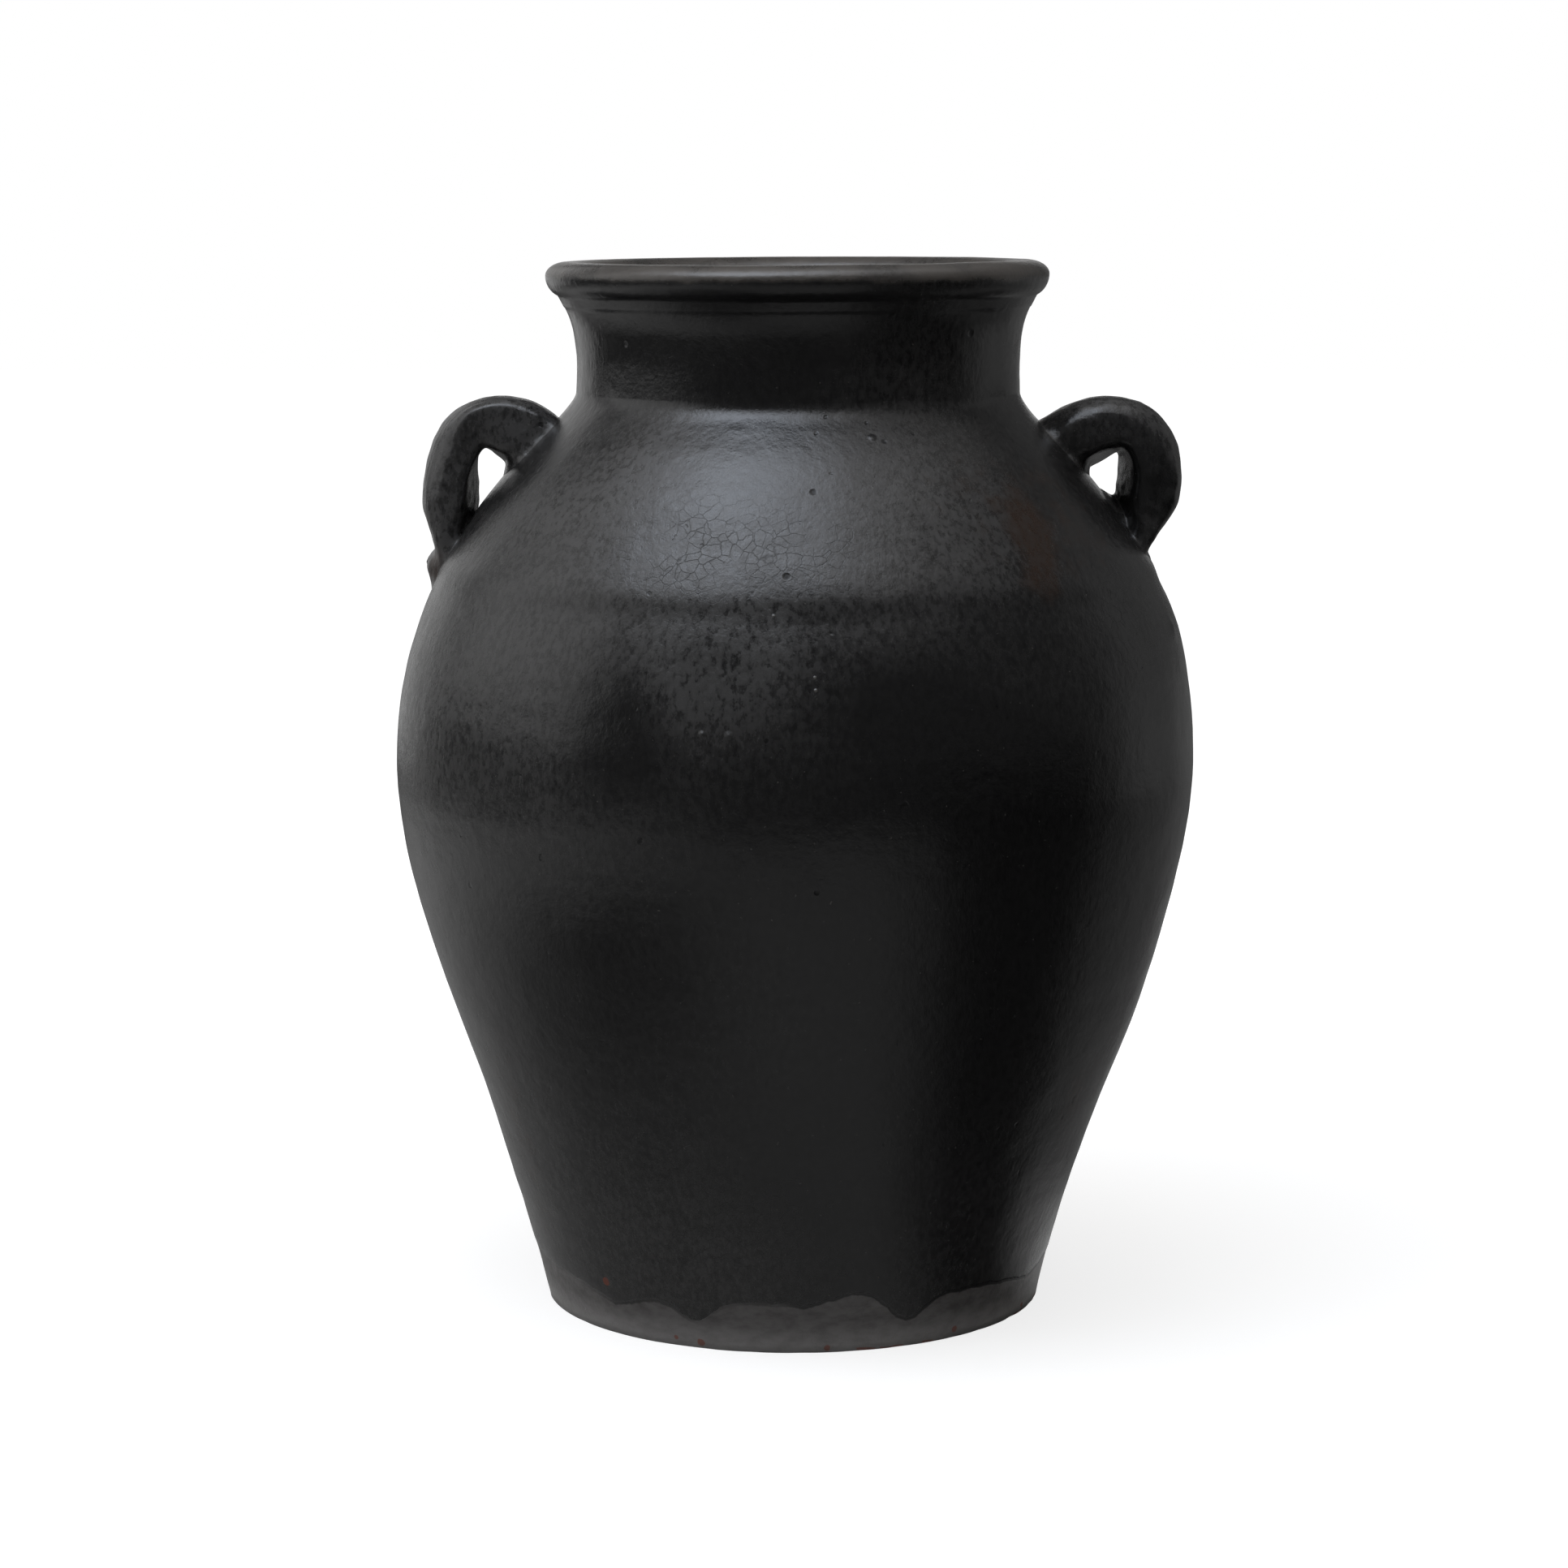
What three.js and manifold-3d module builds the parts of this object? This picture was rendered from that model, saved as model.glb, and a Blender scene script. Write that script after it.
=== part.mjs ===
// Two-handled ceramic jar, thrown in sections and luted together, with two pulled strap handles.
// Millimetres, +Z up. The origin is the middle of the flat foot that the jar stands on.
// The jar is built as a potter builds it: floor slab, lower wall, upper wall, neck collar, rolled rim,
// and for each handle a strap with a pad of luting clay round either root.

import * as THREE from 'three';
import { mergeVertices } from 'three/addons/utils/BufferGeometryUtils.js';
import Module from 'manifold-3d';

const wasm = await Module();
wasm.setup();

// Driving dimensions of the wall's outer outline
const FOOT_RADIUS = 103.5;
const FOOT_LEAN = THREE.MathUtils.degToRad(13);   // how far the wall leans out where it leaves the foot
const FOOT_RISE = 97;                             // how far up the wall that lean is felt
const FOOT_BEVEL = 1.5;
const BELLY_RADIUS = 165;
const BELLY_HEIGHT = 226;
const BELLY_FULLNESS_BELOW = 63;
const BELLY_FULLNESS_ABOVE = 103;
const SHOULDER_RISE = 158;                        // from the belly up to the throat
const THROAT_RADIUS = 90.5;
const THROAT_SWEEP_BELOW = 26;
const THROAT_SWEEP_ABOVE = 12;
const NECK_RISE = 24.5;                           // from the throat up to the tuck under the rim
const NECK_SPREAD = 3.5;                          // how much wider the tuck is than the throat
const TUCK_FLARE = THREE.MathUtils.degToRad(41);
const TUCK_SWEEP = 5;

// Clay thicknesses, and how far below the throat the neck collar was luted on
const WALL = 9;
const FLOOR = 12;
const NECK_JOINT_DROP = 12;

// Rolled rim
const RIM_DEPTH = 22.5;                           // from the tuck up to the crest
const RIM_OVERHANG = 9;                           // how far the roll stands out past the tuck
const ROLL_HALF_WIDTH = 9.3;
const ROLL_HALF_HEIGHT = 7.4;
const RIM_UNDERCUT = THREE.MathUtils.degToRad(45);

// Strap handles: where the strap's centre line leaves and meets the wall, and how it bows out
const HANDLE_DROP = 25.5;                         // from the throat down to the top root
const HANDLE_SPAN = 46.5;                         // from the top root down to the foot root
const HANDLE_TOP_RISE = THREE.MathUtils.degToRad(26);
const HANDLE_TOP_REACH = 50;
const HANDLE_FOOT_RISE = THREE.MathUtils.degToRad(82);
const HANDLE_FOOT_REACH = 31;
const STRAP_THICKNESS = 20;
const STRAP_WIDTH = 32;
const STRAP_ROOT_SWELL = 3;                       // extra half width and half thickness at the roots
const STRAP_SQUARENESS = 2.4;                     // 2 is an ellipse, larger is boxier
const ROOT_SINK = 8;                              // how deep the strap's ends lie in the wall before trimming

// Luting pads, measured from the strap's surface, along the wall and out of it
const PAD_SPREAD = 6;
const PAD_HEIGHT = 7;

const GAP = 0.3;                                  // between a piece and the neighbour that trims it

const ROUND_SEGMENTS = 48;
const LOWER_STEPS = 10;
const UPPER_STEPS = 10;
const NECK_STEPS = 5;
const INSIDE_STEPS = 5;
const RIM_STEPS = 9;
const PAD_SIDES = 16;
const PAD_RINGS = 8;
const STRAP_STEPS = 18;
const STRAP_SIDES = 16;

// Places that follow from the sizes above
const THROAT_HEIGHT = BELLY_HEIGHT + SHOULDER_RISE;
const TUCK_HEIGHT = THROAT_HEIGHT + NECK_RISE;
const TUCK_RADIUS = THROAT_RADIUS + NECK_SPREAD;
const NECK_JOINT_HEIGHT = THROAT_HEIGHT - NECK_JOINT_DROP;
const HANDLE_TOP_HEIGHT = THROAT_HEIGHT - HANDLE_DROP;
const HANDLE_FOOT_HEIGHT = HANDLE_TOP_HEIGHT - HANDLE_SPAN;

// The wall's outer outline: three cubic curves in (radius, height)
const point = (radius, height) => new THREE.Vector2(radius, height);

const footToBelly = new THREE.CubicBezierCurve(
  point(FOOT_RADIUS, 0),
  point(FOOT_RADIUS + FOOT_RISE * Math.sin(FOOT_LEAN), FOOT_RISE * Math.cos(FOOT_LEAN)),
  point(BELLY_RADIUS, BELLY_HEIGHT - BELLY_FULLNESS_BELOW),
  point(BELLY_RADIUS, BELLY_HEIGHT),
);
const bellyToThroat = new THREE.CubicBezierCurve(
  point(BELLY_RADIUS, BELLY_HEIGHT),
  point(BELLY_RADIUS, BELLY_HEIGHT + BELLY_FULLNESS_ABOVE),
  point(THROAT_RADIUS, THROAT_HEIGHT - THROAT_SWEEP_BELOW),
  point(THROAT_RADIUS, THROAT_HEIGHT),
);
const throatToTuck = new THREE.CubicBezierCurve(
  point(THROAT_RADIUS, THROAT_HEIGHT),
  point(THROAT_RADIUS, THROAT_HEIGHT + THROAT_SWEEP_ABOVE),
  point(TUCK_RADIUS - TUCK_SWEEP * Math.sin(TUCK_FLARE), TUCK_HEIGHT - TUCK_SWEEP * Math.cos(TUCK_FLARE)),
  point(TUCK_RADIUS, TUCK_HEIGHT),
);

// Radius and slope of the outer wall at a height, found on the curve by halving
function wallAt(height) {
  let curve = throatToTuck;
  if (height <= THROAT_HEIGHT) curve = bellyToThroat;
  if (height <= BELLY_HEIGHT) curve = footToBelly;
  let low = 0;
  let high = 1;
  for (let i = 0; i < 40; i += 1) {
    const middle = (low + high) / 2;
    if (curve.getPoint(middle).y < height) low = middle;
    else high = middle;
  }
  const tangent = curve.getTangent((low + high) / 2);
  return { radius: curve.getPoint((low + high) / 2).x, slope: tangent.x / tangent.y };
}

const outerRadius = (height) => wallAt(height).radius;

// The inner face keeps the wall's thickness square to the outer face
function innerRadius(height) {
  const { radius, slope } = wallAt(height);
  return radius - WALL * Math.hypot(1, slope);
}

// Points of a face from one height to another, both ends included
function face(radiusAt, from, to, steps) {
  const points = [];
  for (let i = 0; i <= steps; i += 1) {
    const height = i === steps ? to : from + ((to - from) * i) / steps;
    points.push(point(radiusAt(height), height));
  }
  return points;
}

// A ring of clay turned about the jar's axis, +Z up; the outline closes on itself
function turned(outline) {
  const closed = outline.concat([outline[0].clone()]);
  const geometry = new THREE.LatheGeometry(closed, ROUND_SEGMENTS);
  geometry.rotateX(Math.PI / 2);
  return geometry;
}

// A solid disc or plug: the outline starts and ends on the axis
function turnedSolid(outline) {
  const first = point(0, outline[0].y);
  const last = point(0, outline[outline.length - 1].y);
  const geometry = new THREE.LatheGeometry([first, ...outline, last], ROUND_SEGMENTS);
  geometry.rotateX(Math.PI / 2);
  return geometry;
}

// Geometry to solid for cutting, and back
function toSolid(geometry) {
  const bare = geometry.clone();
  bare.deleteAttribute('normal');
  bare.deleteAttribute('uv');
  const merged = mergeVertices(bare, 1e-4);
  const triVerts = [];
  const index = merged.index.array;
  for (let i = 0; i < index.length; i += 3) {
    const [a, b, c] = [index[i], index[i + 1], index[i + 2]];
    if (a !== b && b !== c && c !== a) triVerts.push(a, b, c);
  }
  return new wasm.Manifold(new wasm.Mesh({
    numProp: 3,
    vertProperties: new Float32Array(merged.attributes.position.array),
    triVerts: new Uint32Array(triVerts),
  }));
}

function toGeometry(solid) {
  const mesh = solid.getMesh();
  const geometry = new THREE.BufferGeometry();
  geometry.setAttribute('position', new THREE.BufferAttribute(new Float32Array(mesh.vertProperties), 3));
  geometry.setIndex(Array.from(mesh.triVerts));
  geometry.computeVertexNormals();
  return geometry;
}

// Floor slab, with the edge of the foot eased
function floorSlab() {
  return turnedSolid([
    point(FOOT_RADIUS - FOOT_BEVEL, 0),
    point(outerRadius(FOOT_BEVEL), FOOT_BEVEL),
    point(outerRadius(FLOOR), FLOOR),
  ]);
}

// One thrown section of the wall between two level joints
function wallSection(from, to, outerSteps, innerSteps) {
  return turned([
    ...face(outerRadius, from, to, outerSteps),
    ...face(innerRadius, to, from, innerSteps),
  ]);
}

// Rolled rim: an oval roll, undercut on the outside, run down to the neck on the inside
function rolledRim() {
  const centreHeight = TUCK_HEIGHT + RIM_DEPTH - ROLL_HALF_HEIGHT;
  const crestRadius = TUCK_RADIUS + RIM_OVERHANG - ROLL_HALF_WIDTH;
  const outline = [point(TUCK_RADIUS, TUCK_HEIGHT)];
  for (let i = 0; i <= RIM_STEPS; i += 1) {
    const angle = -RIM_UNDERCUT + ((Math.PI + RIM_UNDERCUT) * i) / RIM_STEPS;
    const radius = crestRadius + ROLL_HALF_WIDTH * Math.cos(angle);
    outline.push(point(radius, centreHeight + ROLL_HALF_HEIGHT * Math.sin(angle)));
  }
  outline.push(point(innerRadius(TUCK_HEIGHT), TUCK_HEIGHT));
  return turned(outline);
}

// The strap's centre line in the plane through the jar's axis, sunk straight into the wall at both roots
const ROOT_HALF_THICKNESS = STRAP_THICKNESS / 2 + STRAP_ROOT_SWELL;
const ROOT_HALF_WIDTH = STRAP_WIDTH / 2 + STRAP_ROOT_SWELL;

// A root: where the strap meets the wall, the way it leaves, and its lean away from square to the wall
function rootAt(height, rise, reach) {
  const { radius, slope } = wallAt(height);
  const place = new THREE.Vector3(radius, 0, height);
  const leave = new THREE.Vector3(Math.cos(rise), 0, Math.sin(rise));
  const tilt = Math.atan(slope);
  return {
    place,
    tilt,
    lean: Math.abs(rise + tilt),
    pulled: place.clone().addScaledVector(leave, reach),
    sunk: (depth) => place.clone().addScaledVector(leave, -depth),
  };
}

const topRoot = rootAt(HANDLE_TOP_HEIGHT, HANDLE_TOP_RISE, HANDLE_TOP_REACH);
const footRoot = rootAt(HANDLE_FOOT_HEIGHT, HANDLE_FOOT_RISE, HANDLE_FOOT_REACH);
const sinkOf = (root) => ROOT_HALF_THICKNESS * Math.tan(root.lean) + ROOT_SINK;

function strapLine() {
  const line = new THREE.CurvePath();
  line.add(new THREE.LineCurve3(topRoot.sunk(sinkOf(topRoot)), topRoot.place));
  line.add(new THREE.CubicBezierCurve3(topRoot.place, topRoot.pulled, footRoot.pulled, footRoot.place));
  line.add(new THREE.LineCurve3(footRoot.place, footRoot.sunk(sinkOf(footRoot))));
  return line;
}

// A rounded-oval section swept along the centre line, swelling towards both roots
function strap(extra) {
  const line = strapLine();
  const positions = [];
  const index = [];
  const across = new THREE.Vector3(0, 1, 0);
  const corner = (value) => Math.sign(value) * Math.abs(value) ** (2 / STRAP_SQUARENESS);
  for (let i = 0; i <= STRAP_STEPS; i += 1) {
    const along = i / STRAP_STEPS;
    const centre = line.getPointAt(along);
    const out = new THREE.Vector3().crossVectors(line.getTangentAt(along), across);
    const swell = STRAP_ROOT_SWELL * Math.cos(Math.PI * along) ** 4 + extra;
    for (let j = 0; j < STRAP_SIDES; j += 1) {
      const angle = (2 * Math.PI * j) / STRAP_SIDES;
      const vertex = centre.clone()
        .addScaledVector(out, (STRAP_THICKNESS / 2 + swell) * corner(Math.cos(angle)))
        .addScaledVector(across, (STRAP_WIDTH / 2 + swell) * corner(Math.sin(angle)));
      positions.push(vertex.x, vertex.y, vertex.z);
    }
  }
  const vertexAt = (step, side) => step * STRAP_SIDES + (side % STRAP_SIDES);
  for (let i = 0; i < STRAP_STEPS; i += 1) {
    for (let j = 0; j < STRAP_SIDES; j += 1) {
      index.push(vertexAt(i, j), vertexAt(i + 1, j), vertexAt(i, j + 1));
      index.push(vertexAt(i, j + 1), vertexAt(i + 1, j), vertexAt(i + 1, j + 1));
    }
  }
  for (let j = 1; j < STRAP_SIDES - 1; j += 1) {
    index.push(vertexAt(0, 0), vertexAt(0, j), vertexAt(0, j + 1));
    index.push(vertexAt(STRAP_STEPS, 0), vertexAt(STRAP_STEPS, j + 1), vertexAt(STRAP_STEPS, j));
  }
  const geometry = new THREE.BufferGeometry();
  geometry.setAttribute('position', new THREE.BufferAttribute(new Float32Array(positions), 3));
  geometry.setIndex(index);
  return geometry;
}

// The upper half of the jar's outside as one plug, a gap larger all round, for trimming handles and
// pads. It has the same steps as the wall sections, so that their facets lie side by side.
function wallPlug() {
  const clearRadius = (height) => {
    const { radius, slope } = wallAt(height);
    return radius + GAP * Math.hypot(1, slope);
  };
  return toSolid(turnedSolid([
    ...face(clearRadius, BELLY_HEIGHT, NECK_JOINT_HEIGHT, UPPER_STEPS),
    ...face(clearRadius, NECK_JOINT_HEIGHT, TUCK_HEIGHT, NECK_STEPS).slice(1),
  ]));
}

// A flattened pad of clay centred where the strap meets the wall, lying along the wall.
// A strap that leans over the wall has a longer footprint, so its pad is longer too.
function pad(root) {
  const length = ROOT_HALF_THICKNESS / Math.cos(root.lean) + PAD_SPREAD;
  const geometry = new THREE.SphereGeometry(1, PAD_SIDES, PAD_RINGS);
  geometry.scale(PAD_HEIGHT, ROOT_HALF_WIDTH + PAD_SPREAD, length);
  geometry.rotateY(root.tilt);
  geometry.translate(root.place.x, root.place.y, root.place.z);
  return toSolid(geometry);
}

const plug = wallPlug();
const clearStrap = toSolid(strap(GAP));
const trimmedStrap = toSolid(strap(0)).subtract(plug);
const topPad = pad(topRoot).subtract(plug).subtract(clearStrap);
const footPad = pad(footRoot).subtract(plug).subtract(clearStrap);

// Fired clay, near black, each piece with its own material
function clay(name, geometry, colour, roughness) {
  const material = new THREE.MeshStandardMaterial({ color: colour, roughness, metalness: 0 });
  material.name = name;
  const mesh = new THREE.Mesh(geometry, material);
  mesh.name = name;
  return mesh;
}

const GLAZE = 0x1c1b1b;
const WORN_GLAZE = 0x24201d;

const jar = new THREE.Group();
jar.add(clay('floor_slab', floorSlab(), WORN_GLAZE, 0.6));
jar.add(clay('lower_wall', wallSection(FLOOR, BELLY_HEIGHT, LOWER_STEPS, INSIDE_STEPS), GLAZE, 0.35));
jar.add(clay('upper_wall', wallSection(BELLY_HEIGHT, NECK_JOINT_HEIGHT, UPPER_STEPS, INSIDE_STEPS), GLAZE, 0.35));
jar.add(clay('neck_collar', wallSection(NECK_JOINT_HEIGHT, TUCK_HEIGHT, NECK_STEPS, NECK_STEPS), GLAZE, 0.35));
jar.add(clay('rolled_rim', rolledRim(), GLAZE, 0.4));

// The left handle is the right one turned half way round the jar's axis
for (const [side, turn] of [['right', 0], ['left', Math.PI]]) {
  const handle = new THREE.Group();
  handle.rotation.z = turn;
  handle.add(clay(`${side}_handle`, toGeometry(trimmedStrap), GLAZE, 0.3));
  handle.add(clay(`${side}_handle_top_pad`, toGeometry(topPad), GLAZE, 0.35));
  handle.add(clay(`${side}_handle_foot_pad`, toGeometry(footPad), WORN_GLAZE, 0.45));
  jar.add(handle);
}

export default jar;
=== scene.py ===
# %% [markdown]
# # A black-glazed jar with two strap handles
#
# The jar was thrown in sections on a wheel, luted together, given two pulled handles and fired black.
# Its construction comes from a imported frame, which holds every piece at its real size. This notebook
# makes the looks around that frame: the thrown shell, the pulled handles with their smeared roots,
# the crackled glaze, and the light of a small studio.

# %% The frame
import bpy
import bmesh
import math
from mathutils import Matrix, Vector, noise


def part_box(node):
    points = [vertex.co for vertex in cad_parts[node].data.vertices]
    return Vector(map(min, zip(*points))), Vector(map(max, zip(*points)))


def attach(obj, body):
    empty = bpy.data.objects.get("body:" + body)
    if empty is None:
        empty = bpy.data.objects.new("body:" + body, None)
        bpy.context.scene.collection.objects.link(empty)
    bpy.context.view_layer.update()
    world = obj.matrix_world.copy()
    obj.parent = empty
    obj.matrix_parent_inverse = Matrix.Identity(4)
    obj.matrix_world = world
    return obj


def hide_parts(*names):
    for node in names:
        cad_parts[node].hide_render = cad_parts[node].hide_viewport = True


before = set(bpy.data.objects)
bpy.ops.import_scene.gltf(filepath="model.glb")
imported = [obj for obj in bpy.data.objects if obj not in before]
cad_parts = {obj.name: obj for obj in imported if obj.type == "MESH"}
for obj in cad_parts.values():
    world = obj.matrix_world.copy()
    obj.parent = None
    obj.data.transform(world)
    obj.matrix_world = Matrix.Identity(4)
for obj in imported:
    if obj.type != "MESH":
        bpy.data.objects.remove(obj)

MM = 0.001
scene = bpy.context.scene
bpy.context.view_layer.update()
print("nodes:", sorted(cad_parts))

# %% [markdown]
# ## The camera
#
# The photograph was taken with a long lens from just above the height of the rim, looking slightly
# down. How round the mouth and the foot look gives the height and the distance of the camera, so its
# lens and place below were solved from the outline of the jar. One could also start from a guess and
# slide the camera until the two ellipses agree, but the solved values save that work.

# %% Camera
CAMERA_DISTANCE = 1681.1 * MM
CAMERA_HEIGHT = 466.3 * MM
CAMERA_LEFT = 4.6 * MM
CAMERA_PITCH_DOWN = math.radians(8.536)
LENS = 93.85

camera_data = bpy.data.cameras.new("camera")
camera_data.lens = LENS
camera_data.sensor_width = 36.0
camera = bpy.data.objects.new("camera", camera_data)
camera.location = (-CAMERA_LEFT, -CAMERA_DISTANCE, CAMERA_HEIGHT)
camera.rotation_euler = (math.pi / 2 - CAMERA_PITCH_DOWN, 0, 0)
scene.collection.objects.link(camera)
scene.camera = camera
print("the camera stands at", tuple(round(c, 3) for c in camera.location))

# %% [markdown]
# ## The outline of the wall
#
# A thrown wall is one flowing line from the foot over the belly and the throat to the sharp tuck
# under the rim. It could be traced point by point, but three cubic curves draw it from a handful of
# sizes that are easy to change. The size of the belly and the heights of the tuck and the rim are
# read from the frame, so the shell can't drift away from the pieces that it covers.

# %% Wall outline
WALL = 9 * MM
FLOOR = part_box("floor_slab")[1].z
BELLY = Vector((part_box("lower_wall")[1].x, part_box("lower_wall")[1].z))
TUCK = Vector((95.3 * MM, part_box("neck_collar")[1].z + 3 * MM))
THROAT = TUCK - Vector((4.0, 34.2)) * MM
FOOT = Vector((103.5 * MM, 0))
FOOT_LEAN = math.radians(13)
TUCK_FLARE = math.radians(24)


def cubic(a, b, c, d, t):
    u = 1 - t
    return a * u ** 3 + b * 3 * u * u * t + c * 3 * u * t * t + d * t ** 3


def leaning(angle, length):
    return Vector((math.sin(angle), math.cos(angle))) * length * MM


curves = [
    (FOOT, FOOT + leaning(FOOT_LEAN, 97), BELLY - leaning(0, 63), BELLY),
    (BELLY, BELLY + leaning(0, 97.4), THROAT - leaning(0, 12.8), THROAT),
    (THROAT, THROAT + leaning(0, 24), TUCK - leaning(TUCK_FLARE, 7), TUCK),
]
CURVE_STEPS = (104, 84, 16)
wall_line = [cubic(*curve, i / steps) for curve, steps in zip(curves, CURVE_STEPS) for i in range(steps)]
wall_line.append(TUCK)
print(len(wall_line), "points from foot to tuck")

# %% [markdown]
# ## The rolled rim
#
# The lip is a coil rolled outwards: an oval in section, drawn down steeply to the neck where a finger
# pressed it on. A ring of round section would look turned by a machine, so arcs of two half ellipses
# draw it, flatter above than below, from the undercut round to the mouth.

# %% Rim outline
RIM_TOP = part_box("rolled_rim")[1].z
RIM_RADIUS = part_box("rolled_rim")[1].x
ROLL_HALF_WIDTH = 9.3 * MM
ROLL_RISE = 5.9 * MM
ROLL_DROP = 9.6 * MM
ROLL_START = -62
BEVEL_STEPS = 6
ROLL_STEPS = 34
roll_centre = Vector((RIM_RADIUS - ROLL_HALF_WIDTH, RIM_TOP - ROLL_RISE))
bevel_start = TUCK + Vector((0.5, 0.5)) * MM


def rim_point(turn):
    angle = math.radians(turn)
    reach = ROLL_RISE if turn > 0 else ROLL_DROP
    return roll_centre + Vector((ROLL_HALF_WIDTH * math.cos(angle), reach * math.sin(angle)))


under_bevel = [bevel_start.lerp(rim_point(ROLL_START), i / BEVEL_STEPS) for i in range(BEVEL_STEPS)]
roll = [rim_point(ROLL_START + (180 - ROLL_START) * i / ROLL_STEPS) for i in range(ROLL_STEPS + 1)]
rim_line = under_bevel + roll
print(len(rim_line), "points from the undercut to the mouth")

# %% [markdown]
# ## The inside
#
# The inner face lies one wall's thickness inside the outer one, measured square to it. A Solidify
# modifier would do that too, but the lip and the floor have shapes of their own, so the inner line is
# drawn: down from the mouth, and through a rounded corner into the floor.

# %% Inner outline
inner_line = []
for before, here, after in zip(wall_line, wall_line[1:], wall_line[2:]):
    along = (after - before).normalized()
    inner_line.append(here + WALL * Vector((-along.y, along.x)))
CORNER = 10 * MM
inner_line = [p for p in inner_line[::5] if p.y > FLOOR + CORNER]
inner_line.reverse()
corner_radius = inner_line[-1].x - 0.2 * CORNER
corner = [Vector((corner_radius - CORNER * (1 - math.cos(a)), FLOOR + CORNER * (1 - math.sin(a))))
          for a in (math.radians(d) for d in (20, 45, 70, 90))]
inner_floor = [Vector((corner_radius * share, FLOOR)) for share in (0.75, 0.5, 0.25, 0)]
foot_face = [Vector((FOOT.x * share, 0)) for share in (0, 0.25, 0.5, 0.75, 0.9, 0.97)]
outline = foot_face + wall_line + rim_line + inner_line + corner + inner_floor
print(len(outline), "points round half the section")

# %% [markdown]
# ## Spinning the shell
#
# A spin about the axis is how the wheel made the jar, and it is how the mesh is made: the half
# outline turns through a full circle, its two ends meet on the axis, and the seam is merged. A Screw
# modifier gives the same shape, but the next step moves the vertices, so they have to be there.

# %% Spin
SHELL_STEPS = 300
shell_mesh = bmesh.new()
line = [shell_mesh.verts.new((p.x, 0, p.y)) for p in outline]
edges = [shell_mesh.edges.new(pair) for pair in zip(line, line[1:])]
bmesh.ops.spin(shell_mesh, geom=line + edges, cent=(0, 0, 0), axis=(0, 0, 1),
               angle=2 * math.pi, steps=SHELL_STEPS, use_merge=True)
bmesh.ops.remove_doubles(shell_mesh, verts=shell_mesh.verts[:], dist=1e-6)
bmesh.ops.recalc_face_normals(shell_mesh, faces=shell_mesh.faces[:])
shell_mesh.normal_update()
print(len(shell_mesh.verts), "vertices on the shell")

# %% [markdown]
# ## What the potter's hands left
#
# A perfect surface of revolution looks machine-made, and glaze shows it at once. A bump in the
# material would leave the outline perfect, so the vertices move, by fractions of a millimetre:
# shallow throwing rings that climb in a spiral, slow waves from the hands, a soft ledge across the
# shoulder and a groove below the throat. Larger dents and nubs sit where the photograph shows them,
# and a few more are spread over the back.


# %% Helpers for places on the wall
def azimuth_of(point):
    """0 faces the camera and a right angle lies on the right handle."""
    return math.atan2(point.x, -point.y)


def around(angle):
    return Vector((math.sin(angle), -math.cos(angle), 0))


def ease(edge_low, edge_high, value):
    t = min(max((value - edge_low) / (edge_high - edge_low), 0), 1)
    return t * t * (3 - 2 * t)


def patch(point, azimuth, height, spread, tall):
    """1 in the middle of a soft patch; spread is in degrees and tall in millimetres, both half sizes."""
    away = math.degrees((around(azimuth_of(point)) - around(math.radians(azimuth))).length)
    up = point.z / MM - height
    return math.exp(-(away / spread) ** 2 - (up / tall) ** 2)


# %% Glaze edge near the foot
# The glaze stops in a wavy line above the foot. Most runs of it hang lower, and two arches rise.
GLAZE_EDGE = 21 * MM
# (azimuth and half width in degrees, rise in mm)
RUNS = [(-42, 8, -6.5), (-22, 5, -9.0), (12.5, 6, 4.5), (25, 5, -8.0), (64, 7, -4), (98, 5, -7),
        (131, 9, -5), (158, 5, -8), (-168, 6, -6), (-141, 5, -9), (-112, 9, -5), (-78, 6, 3)]


def glaze_edge(angle):
    ring = around(angle)
    level = 1.6 * noise.noise(ring * 3.1 + Vector((0, 0, 4.0))) + 0.9 * noise.noise(ring * 14)
    for azimuth, spread, rise in RUNS:
        away = math.degrees((ring - around(math.radians(azimuth))).length)
        level += rise * math.exp(-(away / spread) ** 2)
    return GLAZE_EDGE + level * MM


print("in front the glaze ends", round(glaze_edge(0) / MM, 1), "mm above the bench")

# %% Hand marks
# Dents and nubs: (azimuth, height, half width in degrees, half height in mm, rise in mm)
DENTS = [
    (88, 378, 36, 12, 0.4),
    (-90, 388, 50, 16, -0.8),
    (-5, 372.5, 42, 5, -0.5),
    (90, 126, 45, 36, 1.6),
    (90, 283, 34, 22, 1.8),
    (-90, 95, 35, 25, -0.8),
    (76, 283, 1.3, 3.0, 1.1),
    (-38, 150, 6, 15, -0.5),
    (6, 296, 7, 7, -0.35),
    (-14, 290, 5, 8, 0.30),
    (128, 210, 8, 18, -0.6),
    (-140, 300, 7, 14, -0.5),
    (165, 120, 2.4, 5, 0.7),
]
RINGS_PER_METRE = 95
LEDGE = 305.5 * MM
THROAT_GROOVE = 366 * MM
# The next three are in millimetres. The inset keeps the marks within the size that the frame has.
LEDGE_RISE = 1.2
GLAZE_THICKNESS = 0.3
INSET = 0.45


def shoulder_ledge(height):
    """The wall swells slowly down to a soft edge and falls back below it, in millimetres."""
    above = ease(20 * MM, 0, height - LEDGE)
    below = ease(-8 * MM, 1.5 * MM, height - LEDGE)
    return LEDGE_RISE * above * below


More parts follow.
